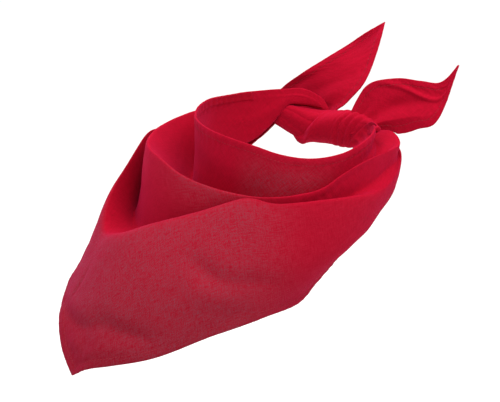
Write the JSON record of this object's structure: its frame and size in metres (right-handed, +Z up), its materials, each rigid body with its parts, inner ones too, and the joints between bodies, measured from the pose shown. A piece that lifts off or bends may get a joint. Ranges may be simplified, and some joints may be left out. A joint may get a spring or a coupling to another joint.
{
  "type": "neckerchief",
  "caption": "Triangular cloth neckerchief worn knotted behind the neck, with two cowl folds over a pointed front panel and free ends standing out from the knot.",
  "frame": {"origin": "centre of the neck opening, on the neck's axis and about 14 mm below the highest point of the neck edge", "axes": "+Z up along the neck, -Y towards the wearer's front where the corner hangs, +X towards the wearer's left"},
  "size_m": [0.2897, 0.3944, 0.2824],
  "materials": {
    "woven_cloth": "plain-woven dyed cotton, matt with a soft sheen",
    "hem": "turned and stitched edge of the same cotton"
  },
  "bodies": {
    "root": {"neck_drape": "woven_cloth", "neck_hem": "hem", "right_leg_hem": "hem", "left_leg_hem": "hem", "knot": "woven_cloth", "upper_tail": "woven_cloth", "side_tail": "woven_cloth"}
  },
  "joints": []
}
